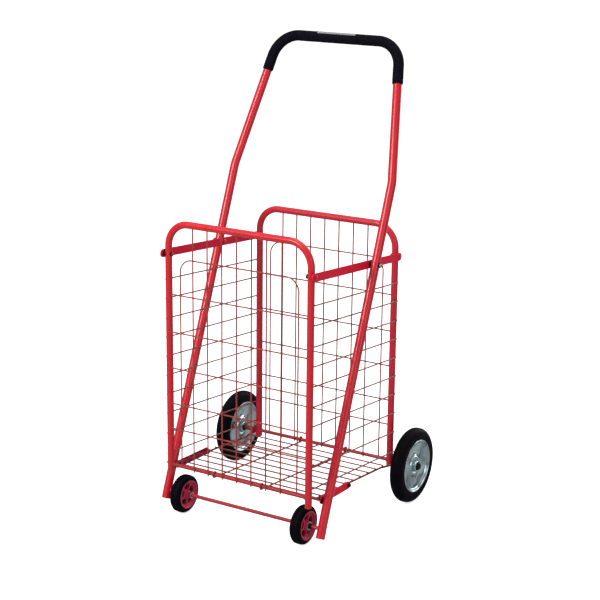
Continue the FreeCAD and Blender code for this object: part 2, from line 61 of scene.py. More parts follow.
class Paint:
    """A Principled material with a few procedural extras wired in."""

    def __init__(self, name, colour, roughness, metallic=0.0, **sockets):
        self.material = bpy.data.materials.new(name)
        self.material.use_nodes = True
        self.tree = self.material.node_tree
        self.shader = self.tree.nodes["Principled BSDF"]
        self.shader.inputs["Base Color"].default_value = (*colour, 1.0)
        self.shader.inputs["Roughness"].default_value = roughness
        self.shader.inputs["Metallic"].default_value = metallic
        for socket, value in sockets.items():
            self.shader.inputs[socket.replace("_", " ")].default_value = value
        self.colour = colour
        self.place = self.new("ShaderNodeTexCoord").outputs["Object"]
        self.normal = None

    def new(self, kind, **settings):
        node = self.tree.nodes.new(kind)
        for key, value in settings.items():
            setattr(node, key, value)
        return node

    def link(self, source, target):
        self.tree.links.new(source, target)

    def noise(self, scale, detail):
        texture = self.new("ShaderNodeTexNoise")
        texture.inputs["Scale"].default_value = scale
        texture.inputs["Detail"].default_value = detail
        self.link(self.place, texture.inputs["Vector"])
        return texture.outputs["Fac"]

    def cells(self, scale):
        texture = self.new("ShaderNodeTexVoronoi", feature="F1")
        texture.inputs["Scale"].default_value = scale
        self.link(self.place, texture.inputs["Vector"])
        return texture.outputs["Distance"]

    def ranged(self, value, low, high, out_low, out_high):
        node = self.new("ShaderNodeMapRange")
        for socket, number in zip(RANGE_SOCKETS, (low, high, out_low, out_high)):
            node.inputs[socket].default_value = number
        self.link(value, node.inputs["Value"])
        return node.outputs["Result"]

    def tint(self, mask, colour):
        """Mixes another colour over the present one by a mask."""
        mix = self.new("ShaderNodeMix", data_type="RGBA")
        self.link(mask, mix.inputs["Factor"])
        before = self.shader.inputs["Base Color"]
        if before.is_linked:
            self.link(before.links[0].from_socket, mix.inputs["A"])
        else:
            mix.inputs["A"].default_value = (*self.colour, 1.0)
        mix.inputs["B"].default_value = (*colour, 1.0)
        self.link(mix.outputs["Result"], before)

    def rough(self, mask, low, high):
        self.link(self.ranged(mask, 0.3, 0.7, low, high), self.shader.inputs["Roughness"])

    def bump(self, height, distance, strength):
        node = self.new("ShaderNodeBump")
        node.inputs["Distance"].default_value = distance
        node.inputs["Strength"].default_value = strength
        self.link(height, node.inputs["Height"])
        if self.normal:
            self.link(self.normal, node.inputs["Normal"])
        self.normal = node.outputs["Normal"]
        self.link(self.normal, self.shader.inputs["Normal"])


def powder_coat(name, colour, dark, roughness):
    """Glossy sprayed paint: orange peel, slow colour drift, duller patches, a few dust nibs."""
    paint = Paint(name, colour, roughness, Coat_Weight=0.20, Coat_Roughness=0.14, Specular_IOR_Level=0.34)
    paint.tint(paint.ranged(paint.noise(7.0, 4.0), 0.42, 0.72, 0.0, 0.6), dark)
    paint.tint(paint.ranged(paint.noise(900.0, 2.0), 0.70, 0.76, 0.0, 0.25), dark)
    paint.rough(paint.noise(60.0, 4.0), roughness - 0.05, roughness + 0.10)
    paint.bump(paint.noise(520.0, 2.0), 0.00012, 0.35)
    paint.bump(paint.noise(90.0, 2.0), 0.0003, 0.20)
    return paint.material


def strap_coat(name, colour, dark):
    """Thinner, duller coat on the flat bars, with small darker chips along it."""
    paint = Paint(name, colour, 0.46, Coat_Weight=0.0, Specular_IOR_Level=0.08)
    paint.tint(paint.ranged(paint.noise(12.0, 4.0), 0.42, 0.72, 0.0, 0.6), dark)
    paint.tint(paint.ranged(paint.noise(700.0, 2.0), 0.70, 0.77, 0.0, 0.3), dark)
    paint.rough(paint.noise(60.0, 4.0), 0.40, 0.56)
    paint.bump(paint.noise(480.0, 2.0), 0.00012, 0.4)
    return paint.material


def moulded_rubber():
    paint = Paint("rubber", (0.0021, 0.0018, 0.0040), 0.58, Specular_IOR_Level=0.04)
    paint.tint(paint.ranged(paint.noise(35.0, 5.0), 0.50, 0.80, 0.0, 0.6), (0.0052, 0.0046, 0.0068))
    paint.rough(paint.noise(48.0, 4.0), 0.44, 0.68)
    paint.bump(paint.noise(1400.0, 3.0), 0.00012, 0.5)
    return paint.material


def foam_skin():
    paint = Paint("foam_skin", (0.0030, 0.0027, 0.0068), 0.86, Specular_IOR_Level=0.05)
    paint.tint(paint.ranged(paint.noise(260.0, 4.0), 0.45, 0.70, 0.0, 0.6), (0.0105, 0.0095, 0.0155))
    paint.rough(paint.noise(120.0, 3.0), 0.74, 0.94)
    paint.bump(paint.cells(900.0), 0.0005, 0.55)
    paint.bump(paint.noise(55.0, 3.0), 0.0016, 0.45)
    return paint.material


def satin_plastic():
    paint = Paint("satin_plastic", (0.0050, 0.0036, 0.0048), 0.42, Specular_IOR_Level=0.14)
    paint.tint(paint.ranged(paint.noise(160.0, 4.0), 0.5, 0.8, 0.0, 0.5), (0.0125, 0.0095, 0.0115))
    paint.rough(paint.noise(140.0, 3.0), 0.32, 0.50)
    paint.bump(paint.noise(1800.0, 2.0), 0.0001, 0.4)
    return paint.material


def red_moulding():
    paint = Paint("red_moulding", (0.56, 0.030, 0.090), 0.32, Specular_IOR_Level=0.30)
    paint.tint(paint.ranged(paint.noise(60.0, 4.0), 0.45, 0.75, 0.0, 0.6), (0.38, 0.021, 0.060))
    paint.rough(paint.noise(200.0, 3.0), 0.24, 0.42)
    paint.bump(paint.noise(1300.0, 2.0), 0.0001, 0.4)
    return paint.material


def plated_disc_painted_reflection():
    """Bright plated pressing: faint ripples and hazy patches; the cool tint and the broad dark blotches are
    painted reflections.
    """
    # Painted reflection: the cool blue-grey base and the dark blotches mixed in below stand in for the
    # studio mirrored in the disc.
    paint = Paint("plated_disc_painted_reflection", (0.52, 0.64, 0.67), 0.13, metallic=1.0)
    paint.tint(paint.ranged(paint.noise(30.0, 5.0), 0.44, 0.66, 0.0, 0.75), (0.15, 0.22, 0.25))
    paint.rough(paint.noise(260.0, 4.0), 0.09, 0.24)
    paint.bump(paint.noise(34.0, 3.0), 0.0022, 0.60)
    paint.bump(paint.noise(900.0, 2.0), 0.00005, 0.3)
    return paint.material


def zinc_plate():
    paint = Paint("zinc_plate", (0.50, 0.51, 0.52), 0.30, metallic=1.0)
    paint.tint(paint.ranged(paint.noise(240.0, 5.0), 0.5, 0.75, 0.0, 0.6), (0.26, 0.26, 0.27))
    paint.rough(paint.noise(500.0, 4.0), 0.20, 0.42)
    paint.bump(paint.noise(1600.0, 2.0), 0.00006, 0.5)
    return paint.material


def strip_film():
    paint = Paint("strip_film", (0.24, 0.24, 0.25), 0.34, Specular_IOR_Level=0.5)
    paint.tint(paint.ranged(paint.noise(150.0, 4.0), 0.45, 0.7, 0.0, 0.7), (0.17, 0.17, 0.18))
    paint.rough(paint.noise(180.0, 3.0), 0.26, 0.46)
    paint.bump(paint.noise(160.0, 3.0), 0.0004, 0.4)
    return paint.material


TUBE_RED = powder_coat("tube_red", (0.58, 0.0105, 0.022), (0.46, 0.0090, 0.022), 0.29)
# Painted shade: the rear frame tube gets a darker, more purple copy of the tube red, for the shade it sits
# in.
SHADED_REAR_RED = powder_coat("rear_tube_painted_shade_red", (0.53, 0.0115, 0.032), (0.41, 0.0095, 0.028), 0.36)
STRAP_RED = strap_coat("strap_red", (0.78, 0.0130, 0.044), (0.64, 0.0105, 0.038))
# Painted shade: a dark purple copy of the strap red for the left lower link and the left floor side rod,
# which lie in shade.
SHADOW_PLUM_RED = strap_coat("shadow_plum_red", (0.34, 0.0120, 0.050), (0.25, 0.0100, 0.040))
# Painted shade: a darker copy of the strap red for the left arm, which faces away from the light.
SHADED_STRAP_RED = strap_coat("shaded_strap_red", (0.68, 0.0110, 0.048), (0.54, 0.0090, 0.040))
RAIL_RED = powder_coat("rail_red", (0.38, 0.0190, 0.024), (0.25, 0.0150, 0.021), 0.34)
GRID_RED = powder_coat("grid_red", (0.33, 0.038, 0.030), (0.19, 0.027, 0.023), 0.36)
# Painted shade: a darker copy of the grid red for the rear grid, the floor wires, the side wires, the right
# floor side rod and the rear axle spacers, which sit in shade.
SHADED_GRID_RED = powder_coat("shaded_grid_red", (0.21, 0.036, 0.029), (0.12, 0.025, 0.022), 0.38)
RUBBER = moulded_rubber()
FOAM = foam_skin()
BLACK = satin_plastic()
RED_PLASTIC = red_moulding()
CHROME = plated_disc_painted_reflection()
ZINC = zinc_plate()
STRIP = strip_film()

SLOT_PAINT = {
    "red_paint": TUBE_RED, "red_wire": RAIL_RED, "black_plastic": BLACK, "foam": FOAM,
    "zinc": ZINC, "rubber": RUBBER, "red_plastic": RED_PLASTIC, "chrome_disc": CHROME,
}
# Per-node paints; the darker rear tube, left strap, plum and dark grid reds are painted shade.
NODE_PAINT = {
    "rear_frame_tube": SHADED_REAR_RED, "arm_left": SHADED_STRAP_RED, "lower_link_left": SHADOW_PLUM_RED,
    "arm_right": STRAP_RED, "lower_link_right": STRAP_RED, "floor_side_rod_left": SHADOW_PLUM_RED,
    "floor_side_rod_right": SHADED_GRID_RED,
    "front_uprights": GRID_RED, "front_crosswires": GRID_RED, "front_hoop": GRID_RED,
    "rear_uprights": SHADED_GRID_RED, "rear_crosswires": SHADED_GRID_RED, "rear_hoop": GRID_RED,
    "floor_crosswires": SHADED_GRID_RED, "rear_axle_spacers": SHADED_GRID_RED,
}


def paint_for(node, slot):
    if node.startswith("side_wires"):
        # The side wires take the painted-shade grid red.
        return SHADED_GRID_RED
    return NODE_PAINT.get(node, SLOT_PAINT[slot])


def dress_cad_nodes():
    for part in record["subparts"]:
        data = nodes[part["node"]].data
        data.materials.clear()
        data.materials.append(paint_for(part["node"], part["material_slot"]))
        for face in data.polygons:
            face.material_index = 0


ROD_TIP_FROM_X = 206.0


def bare_rod_tip():
    """The pointed tail of the lower rod is bare metal."""
    data = nodes["lower_rod"].data
    data.materials.append(ZINC)
    for face in data.polygons:
        if face.center.x < -ROD_TIP_FROM_X * MM:
            face.material_index = 1


dress_cad_nodes()
bare_rod_tip()


# ------------------------------------------------------------ mesh helpers
def finish_mesh(name, mesh, paint, body, stands_for=(), sharp=35.0):
    """Turns a bmesh into a piece that rides on a body."""
    bmesh.ops.remove_doubles(mesh, verts=mesh.verts, dist=1e-7)
    bmesh.ops.dissolve_degenerate(mesh, edges=mesh.edges, dist=1e-7)
    bmesh.ops.recalc_face_normals(mesh, faces=mesh.faces)
    data = bpy.data.meshes.new(name)
    mesh.to_mesh(data)
    mesh.free()
    data.materials.append(paint)
    for face in data.polygons:
        face.use_smooth = True
    data.set_sharp_from_angle(angle=math.radians(sharp))
    piece = bpy.data.objects.new(name, data)
    bpy.context.scene.collection.objects.link(piece)
    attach(piece, body)
    if stands_for:
        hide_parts(*stands_for)
    return piece


def loose_parts(node):
    """Boxes (low, high) in metres of the separate solids of a CAD node, left to right, then upward."""
    mesh = bmesh.new()
    mesh.from_mesh(nodes[node].data)
    bmesh.ops.remove_doubles(mesh, verts=mesh.verts, dist=1e-6)
    waiting = set(mesh.verts)
    found = []
    while waiting:
        front = [waiting.pop()]
        low = front[0].co.copy()
        high = front[0].co.copy()
        while front:
            vert = front.pop()
            low = Vector(map(min, low, vert.co))
            high = Vector(map(max, high, vert.co))
            for edge in vert.link_edges:
                other = edge.other_vert(vert)
                if other in waiting:
                    waiting.remove(other)
                    front.append(other)
        found.append((low, high))
    mesh.free()
    return sorted(found, key=lambda box: (round(box[0].x + box[1].x, 4), round(box[0].z + box[1].z, 4)))


def rounded_profile(points, steps=4):
    """Points are (x, radius, corner rounding); returns a closed list of (x, radius)."""
    out = []
    count = len(points)
    for i, (x, r, rounding) in enumerate(points):
        if not rounding:
            out.append((x, r))
            continue
        here = Vector((x, r))
        before = Vector(points[i - 1][:2]) - here
        after = Vector(points[(i + 1) % count][:2]) - here
        reach = min(rounding, 0.49 * before.length, 0.49 * after.length)
        start = here + before.normalized() * reach
        end = here + after.normalized() * reach
        for k in range(steps + 1):
            t = k / steps
            point = start * (1 - t) ** 2 + here * (2 * t * (1 - t)) + end * t ** 2
            out.append((point.x, point.y))
    return out


def lathe(mesh, profile, y, z, segments=96, shape=None, side=1.0):
    """Adds a closed profile, in mm, turned about the X line through (y, z), in metres."""
    rings = []
    for k in range(segments):
        angle = 2 * math.pi * k / segments
        ring = []
        for x, r in profile:
            if shape:
                x, r = shape(x, r, angle)
            place = (side * x * MM, y + r * math.sin(angle) * MM, z + r * math.cos(angle) * MM)
            ring.append(mesh.verts.new(place))
        rings.append(ring)
    count = len(profile)
    for k in range(segments):
        here = rings[k]
        ahead = rings[(k + 1) % segments]
        for i in range(count):
            j = (i + 1) % count
            mesh.faces.new((here[i], here[j], ahead[j], ahead[i]))


def mirrored_profile(half, middle, steps=4):
    """Profile given as (distance from the middle plane, radius, rounding), repeated on the other side."""
    outer = rounded_profile([(middle + w, r, rounding) for w, r, rounding in half], steps)
    inner = [(2 * middle - x, r) for x, r in reversed(outer)]
    return outer + inner


def node_middle(name):
    """Middle of a node's box: |x| in mm, then y and z in metres."""
    low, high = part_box(name)
    return abs(low.x + high.x) / 2 / MM, (low.y + high.y) / 2, (low.z + high.z) / 2


def hexagonal(flat_r):
    """Shape function that cuts six flats at this distance from the axis."""
    def shape(x, r, angle):
        turn = (angle % (math.pi / 3)) - math.pi / 6
        return x, min(r, flat_r / math.cos(turn))
    return shape


# ------------------------------------------------------------ rear wheels
SHOULDER_MIDDLE = (2.0, 71.0)
SHOULDER_R = 13.0


def rear_tyre_half():
    """Solid tyre: flat tread with fine grooves, round shoulders, stepped side wall, closed at its bore."""
    half = [(0.3, 84.0, 0.0), (2.4, 84.0, 0.0), (2.9, 83.4, 0.0), (3.7, 83.4, 0.0), (4.2, 83.8, 0.0)]
    x, r = SHOULDER_MIDDLE
    for degrees in (22, 34, 46, 58, 70, 82):
        turn = math.radians(degrees)
        half.append((x + SHOULDER_R * math.sin(turn), r + SHOULDER_R * math.cos(turn), 0.0))
    half += [
        (15.0, 67.6, 0.6), (14.5, 66.6, 0.4), (14.5, 65.8, 0.4), (14.9, 65.0, 0.5), (14.9, 62.2, 0.6),
        (13.7, 60.2, 0.8), (12.4, 58.5, 0.3)]
    return half


def rear_disc_half():
    """Pressed disc: rolled edge, stepped wall, dished floor, raised collar and a flared hub tube."""
    return [
        (12.2, 59.2, 0.0), (13.5, 59.5, 0.6), (14.7, 58.9, 0.9), (14.9, 57.4, 0.9), (13.9, 56.4, 0.8),
        (12.0, 55.9, 0.8), (11.4, 53.9, 0.8), (9.0, 52.4, 1.2), (7.4, 49.4, 3.0), (5.2, 43.5, 4.0),
        (3.9, 37.0, 4.0), (3.6, 30.5, 3.0), (4.6, 26.0, 2.0), (6.9, 22.8, 2.0),
        (9.4, 20.6, 1.4), (10.1, 18.6, 0.9),
        (8.9, 16.6, 0.6), (6.6, 15.4, 0.6), (6.6, 13.6, 0.6), (13.6, 12.2, 1.0), (15.6, 11.2, 0.5),
        (15.0, 9.7, 0.4), (12.0, 9.4, 0.0)]


FLUTES = 5
FLUTE_FROM_R = 24.0
FLUTE_TO_R = 52.0
FLUTE_DEPTH = 1.6


def rear_wheel(side_name, side):
    body = "rear_%s_wheel" % side_name
    middle, y, z = node_middle("rear_%s_tyre" % side_name)
    mesh = bmesh.new()
    lathe(mesh, mirrored_profile(rear_tyre_half(), middle), y, z, 192, None, side)
    finish_mesh(body + "_tyre", mesh, RUBBER, body, ["rear_%s_tyre" % side_name], sharp=28)

    def pressed(x, r, angle):
        """Shallow pressed flutes on the dish floor."""
        if FLUTE_FROM_R < r < FLUTE_TO_R:
            bell = math.sin(math.pi * (r - FLUTE_FROM_R) / (FLUTE_TO_R - FLUTE_FROM_R)) ** 2
            depth = FLUTE_DEPTH * bell * max(0.0, math.cos(FLUTES * angle)) ** 1.5
            x += depth if x < middle else -depth
        return x, r

    mesh = bmesh.new()
    lathe(mesh, mirrored_profile(rear_disc_half(), middle, 5), y, z, 240, pressed, side)
    finish_mesh(body + "_disc", mesh, CHROME, body, ["rear_%s_rim" % side_name], sharp=60)
    low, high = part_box("rear_%s_hub" % side_name)
    near, far = sorted((abs(low.x) / MM, abs(high.x) / MM))
    bush = rounded_profile([
        (near, 4.3, 0.3), (near, 8.6, 0.6), (near + 1.6, 9.2, 0.4), (far - 1.6, 9.2, 0.4), (far, 8.6, 0.6),
        (far, 4.3, 0.3)], steps=3)
    mesh = bmesh.new()
    lathe(mesh, bush, y, z, 64, None, side)
    finish_mesh(body + "_hub", mesh, BLACK, body, ["rear_%s_hub" % side_name])


# ------------------------------------------------------------ front wheels
FRONT_BLOCKS = 26
GROOVE_SHARE = 0.16        # of the pitch of the blocks
GROOVE_FROM_R = 37.0
FRONT_WINDOWS = 5
WINDOW_R = 17.3
WINDOW_HALF_W = 9.0
WINDOW_HALF_H = 6.6


def front_tyre_half():
    """Solid tyre: narrow middle rib between two fine grooves, sloping tread, closed at its bore."""
    return [
        (0.4, 41.97, 0.0), (1.0, 41.2, 0.0), (2.0, 41.2, 0.0), (2.6, 41.9, 0.0), (7.4, 41.4, 1.2),
        (10.9, 38.4, 1.6), (12.4, 34.8, 1.2), (12.5, 33.0, 0.6), (12.0, 31.6, 0.4), (12.0, 29.6, 0.0)]


def front_rim_half():
    """Moulded rim: rounded lip over the tyre, deep wall, flat web, stepped hub."""
    return [
        (12.0, 29.4, 0.0), (12.5, 31.3, 0.5), (13.4, 31.4, 0.6), (13.4, 28.9, 0.7), (11.9, 27.6, 0.6),
        (8.4, 26.0, 1.0), (7.4, 24.4, 0.8), (7.4, 10.8, 0.8), (8.4, 9.6, 0.7), (12.6, 8.8, 0.7),
        (13.3, 8.0, 0.4), (13.3, 4.3, 0.0)]


def window_cutter(middle, y, z, side):
    """Rounded windows spaced evenly around the web."""
    cutter = bmesh.new()
    steps = 32

    def softened(value):
        """Pulls a cosine or sine toward the corners, for a rounded box instead of an oval."""
        return math.copysign(abs(value) ** 0.62, value)

    for i in range(FRONT_WINDOWS):
        around = 2 * math.pi * i / FRONT_WINDOWS
        rings = []
        for x in (middle - 9.0, middle + 9.0):
            ring = []
            for k in range(steps):
                turn = 2 * math.pi * k / steps
                across = WINDOW_HALF_W * softened(math.cos(turn))
                out = WINDOW_R + WINDOW_HALF_H * softened(math.sin(turn))
                angle = around + across / WINDOW_R
                ring.append(cutter.verts.new((
                    side * x * MM, y + out * math.sin(angle) * MM, z + out * math.cos(angle) * MM)))
            rings.append(ring)
        cutter.faces.new(rings[0])
        cutter.faces.new(list(reversed(rings[1])))
        for k in range(steps):
            j = (k + 1) % steps
            cutter.faces.new((rings[0][k], rings[1][k], rings[1][j], rings[0][j]))
    bmesh.ops.recalc_face_normals(cutter, faces=cutter.faces)
    data = bpy.data.meshes.new("window_cutter")
    cutter.to_mesh(data)
    cutter.free()
    tool = bpy.data.objects.new("window_cutter", data)
    bpy.context.scene.collection.objects.link(tool)
    return tool


def cut_away(piece, tool):
    """Boolean difference, applied to the piece; the cutter is removed."""
    boolean = piece.modifiers.new("windows", "BOOLEAN")
    boolean.operation = "DIFFERENCE"
    boolean.solver = "EXACT"
    boolean.object = tool
    bpy.context.view_layer.update()
    evaluated = piece.evaluated_get(bpy.context.evaluated_depsgraph_get())
    result = bpy.data.meshes.new_from_object(evaluated)
    piece.modifiers.clear()
    piece.data = result
    piece.data.set_sharp_from_angle(angle=math.radians(38))
    bpy.data.objects.remove(tool)


def front_wheel(side_name, side):
    body = "front_%s_wheel" % side_name
    middle, y, z = node_middle("front_%s_tyre" % side_name)

    def blocky(x, r, angle):
        """Shallow cross grooves that deepen over the shoulders."""
        step = (angle / (2 * math.pi) * FRONT_BLOCKS) % 1.0
        if step < GROOVE_SHARE and r > GROOVE_FROM_R:
            reach = abs(x - middle)
            r -= 1.1 if reach > 7.0 else (0.5 if reach > 3.0 else 0.0)
        return x, r

    mesh = bmesh.new()
    lathe(mesh, mirrored_profile(front_tyre_half(), middle), y, z, FRONT_BLOCKS * 10, blocky, side)
    finish_mesh(body + "_tyre", mesh, RUBBER, body, ["front_%s_tyre" % side_name], sharp=28)
    mesh = bmesh.new()
    lathe(mesh, mirrored_profile(front_rim_half(), middle), y, z, 120, None, side)
    cad_rim = "front_%s_rim" % side_name
    rim = finish_mesh(body + "_rim", mesh, RED_PLASTIC, body, [cad_rim], sharp=38)
    cut_away(rim, window_cutter(middle, y, z, side))
    mesh = bmesh.new()
    core = [
        (1.2, 27.2, 0.4), (1.2, 24.0, 0.6), (2.0, 22.6, 0.6), (2.0, 13.0, 0.6), (1.2, 11.6, 0.6),
        (1.2, 9.9, 0.0)]
    lathe(mesh, mirrored_profile(core, middle, 2), y, z, 96, None, side)
    finish_mesh(body + "_core", mesh, BLACK, body)


for side_name, side in SIDES:
    rear_wheel(side_name, side)
    front_wheel(side_name, side)


# ------------------------------------------------------------ turned hardware
def replace_turned(node, paint, body, profile_of, shape=None, segments=48):
    """Turns each solid of a node anew; profile_of takes its inner |x|, outer |x| and radius in mm."""
    mesh = bmesh.new()
    for low, high in loose_parts(node):
        side = 1.0 if low.x + high.x > 0 else -1.0
        near, far = sorted((abs(low.x) / MM, abs(high.x) / MM))
        radius = (high.z - low.z) / 2 / MM
        profile = rounded_profile(profile_of(near, far, radius), steps=4)
        lathe(mesh, profile, (low.y + high.y) / 2, (low.z + high.z) / 2, segments, shape, side)
    finish_mesh(node + "_detail", mesh, paint, body, [node], sharp=30)


def rivet(near, far, radius):
    """Domed head outside, peened end inside."""
    return [
        (near, 0.0, 0.0), (near + 0.1, 2.2, 0.5), (near + 0.9, 4.3, 0.4), (near + 1.2, 4.3, 0.0),
        (near + 1.2, 3.0, 0.0), (far - 1.5, 3.0, 0.0), (far - 1.5, radius, 0.0), (far - 1.1, radius, 0.3),
        (far - 0.2, radius * 0.62, 1.2), (far, radius * 0.25, 0.6), (far, 0.0, 0.0)]


def mushroom_bolt(near, far, radius):
    return [
        (near, 0.0, 0.0), (near + 0.1, radius * 0.4, 0.8), (near + 1.6, radius * 0.93, 1.2),
        (near + 2.6, radius, 0.4), (near + 4.1, radius, 0.2), (near + 4.1, 3.0, 0.0), (far - 0.5, 3.0, 0.0),
        (far, 2.4, 0.2), (far, 0.0, 0.0)]


def thin_nut(near, far, radius):
    return [
        (near, 2.9, 0.0), (near, radius * 0.94, 0.0), (near + 0.4, radius, 0.1), (far - 0.6, radius, 0.1),
        (far, radius * 0.86, 0.1), (far, 3.3, 0.1), (far - 0.4, 2.9, 0.0)]


def flanged_nut(near, far, radius):
    """Silver nut with its flange on the end that faces away from the wheel."""
    return [
        (near, 3.9, 0.0), (near, radius, 0.2), (near + 1.1, radius, 0.3), (near + 1.7, radius * 0.95, 0.3),
        (near + 2.0, radius * 0.80, 0.1), (far - 0.5, radius * 0.80, 0.1), (far, radius * 0.70, 0.1),
        (far, 3.9, 0.0)]


def domed_cap(near, far, radius):
    return [
        (near, 3.9, 0.0), (near, radius * 0.96, 0.2), (near + 0.6, radius, 0.3), (near + 1.4, radius, 0.3),
        (near + 1.9, radius * 0.86, 0.3), (near + 3.5, radius * 0.72, 1.2), (far, radius * 0.34, 0.8),
        (far, 0.0, 0.0), (far - 1.6, 0.0, 0.0), (far - 1.9, 3.9, 0.0)]


def axle_nut(near, far, radius):
    """Dark nut with a washer face against the wheel's washer."""
    return [
        (near, 4.0, 0.0), (near, radius, 0.2), (near + 1.0, radius, 0.2), (near + 1.3, radius * 0.90, 0.2),
        (far - 0.6, radius * 0.90, 0.2), (far, radius * 0.76, 0.2), (far, 4.0, 0.0)]


def capped_rivet(near, far, radius):
    """Link rivet under a dark cap."""
    return [
        (near, 0.0, 0.0), (near, 2.5, 0.0), (near + 3.0, 2.5, 0.0), (near + 3.0, radius, 0.2),
        (near + 4.2, radius, 0.4), (far - 0.8, radius * 0.80, 0.9), (far, radius * 0.40, 0.6),
        (far, 0.0, 0.0)]


def round_washer(near, far, radius):
    return [
        (near, 4.1, 0.1), (near, radius - 0.4, 0.2), (near + 0.4, radius, 0.2), (far - 0.4, radius, 0.2),
        (far, radius - 0.4, 0.2), (far, 4.1, 0.1)]


NUT_FLAT_R = 3.75

replace_turned("front_arm_pins", TUBE_RED, "front_frame", rivet)
# The rear pins carry the same painted-shade red as the rear frame tube.
replace_turned("rear_arm_pins", SHADED_REAR_RED, "rear_frame", rivet)
replace_turned("handle_bolts", TUBE_RED, "handle", mushroom_bolt)
replace_turned("handle_nuts", ZINC, "handle", thin_nut, hexagonal(NUT_FLAT_R))
replace_turned("front_axle_collars", ZINC, "handle", flanged_nut)
replace_turned("front_axle_washers", ZINC, "handle", round_washer)
replace_turned("front_axle_nuts", BLACK, "handle", axle_nut)
replace_turned("rear_axle_caps", BLACK, "rear_frame", domed_cap)
replace_turned("lower_link_rivets", BLACK, "lower_links", capped_rivet)


# ------------------------------------------------------------ foam grip
GRIP_CORNER_X = 150.3      # where the bar's line meets the line of a leg
GRIP_BEND = 60.0
GRIP_LEFT_RUN = 82.6       # bar down to the foam's left end, along the handle
GRIP_RIGHT_RUN = 89.8      # and down to its right end
LEG_SPLAY = 48.0 / 299.4   # sideways run of a leg for its length
GRIP_R = 11.70
GRIP_BORE_R = 9.55
GRIP_STEP = 1.6            # between the foam's rings
END_ROLL = 1.1             # rounding of the foam's ends
END_ROLL_RUN = 2.4
SKIN_WAVE = 0.12
CREASE = 0.38              # depth on the inside of the bends
STRIP_R = 11.95
STRIP_T = 0.25
STRIP_SPAN = (-50.0, 45.0)
STRIP_HALF_WRAP = 62.0     # degrees either side of the bar's top


def handle_up():
    along = joint_place["handle_swing"] - joint_place["front_left_wheel_spin"]
    return Vector((0.0, along.y, along.z)).normalized()


def half_grip_path(step, run):
    """Points, tangents and bend flags in (x, up) mm from one end of the foam to the middle of the bar."""
    end = Vector((GRIP_CORNER_X + LEG_SPLAY * run, -run))
    corner = Vector((GRIP_CORNER_X, 0.0))
    down = (end - corner).normalized()
    turn = math.pi - Vector((-1.0, 0.0)).angle(down)
    reach = GRIP_BEND * math.tan(turn / 2)
    leg = (end - corner).length - reach
    bar = corner.x - reach
    points = []
    leg_steps = max(2, round(leg / step))
    for k in range(leg_steps):
        points.append((end.lerp(corner + down * reach, k / leg_steps), -down, False))
    arc_steps = max(4, round(GRIP_BEND * turn / step))
    centre = Vector((bar, -GRIP_BEND))
    for k in range(arc_steps):
        angle = turn * (1 - k / arc_steps)
        out = Vector((math.sin(angle), math.cos(angle)))
        points.append((centre + out * GRIP_BEND, Vector((-out.y, out.x)), True))
    bar_steps = max(2, round(bar / step))
    for k in range(bar_steps + 1):
        points.append((Vector((bar * (1 - k / bar_steps), 0.0)), Vector((-1.0, 0.0)), False))
    return points


def grip_path(step):
    """The whole foam, left end to right end."""
    left = half_grip_path(step, GRIP_LEFT_RUN)
    right = half_grip_path(step, GRIP_RIGHT_RUN)
    mirrored = [(Vector((-p.x, p.y)), Vector((-t.x, t.y)), bend) for p, t, bend in left]
    return mirrored + [(p, -t, bend) for p, t, bend in reversed(right[:-1])]


def grip_piece():
    """Closed foam tube: soft uneven skin, rolled ends, small creases on the inside of both bends."""
    centre = mount_place["grip_bar"]
    up = handle_up()
    side_axis = Vector((1.0, 0.0, 0.0))
    square = side_axis.cross(up)
    around = 56
    path = grip_path(GRIP_STEP)
    mesh = bmesh.new()
    length = 0.0
    outer = []
    bore = []
    for i, (point, tangent, bend) in enumerate(path):
        if i:
            length += (point - path[i - 1][0]).length
        from_end = min(i, len(path) - 1 - i) * GRIP_STEP
        along = side_axis * tangent.x + up * tangent.y
        across = along.cross(square).normalized()
        place = centre + (side_axis * point.x + up * point.y) * MM
        roll = END_ROLL * max(0.0, 1.0 - from_end / END_ROLL_RUN) ** 2
        ring = []
        hole = []
        for k in range(around):
            angle = 2 * math.pi * k / around
            out = across * math.cos(angle) + square * math.sin(angle)
            r = GRIP_R - roll
            r += SKIN_WAVE * noise.noise((place + out * GRIP_R * MM) * 140.0)
            if bend:
                toward_inside = max(0.0, -out.dot(across) * (1.0 if across.dot(up) > 0 else -1.0))
                r -= CREASE * toward_inside ** 2 * (0.5 + 0.5 * math.sin(length * 1.15))
            ring.append(mesh.verts.new(place + out * r * MM))
            hole.append(mesh.verts.new(place + out * GRIP_BORE_R * MM))
        outer.append(ring)
        bore.append(hole)
    for rings in (outer, bore):
        for here, ahead in zip(rings, rings[1:]):
            for k in range(around):
                j = (k + 1) % around
                mesh.faces.new((here[k], here[j], ahead[j], ahead[k]))
    for ring, hole in ((outer[0], bore[0]), (outer[-1], bore[-1])):
        for k in range(around):
            j = (k + 1) % around
            mesh.faces.new((ring[k], ring[j], hole[j], hole[k]))
    piece = finish_mesh("handle_grip_foam", mesh, FOAM, "handle", ["handle_grip"], sharp=50)


def grid_outline(grid):
    """Vertices around the edge of a grid, in order."""
    first_row = [line[0] for line in grid]
    last_row = [line[-1] for line in reversed(grid[:-1])]
    return first_row + grid[-1][1:] + last_row + grid[0][-2:0:-1]


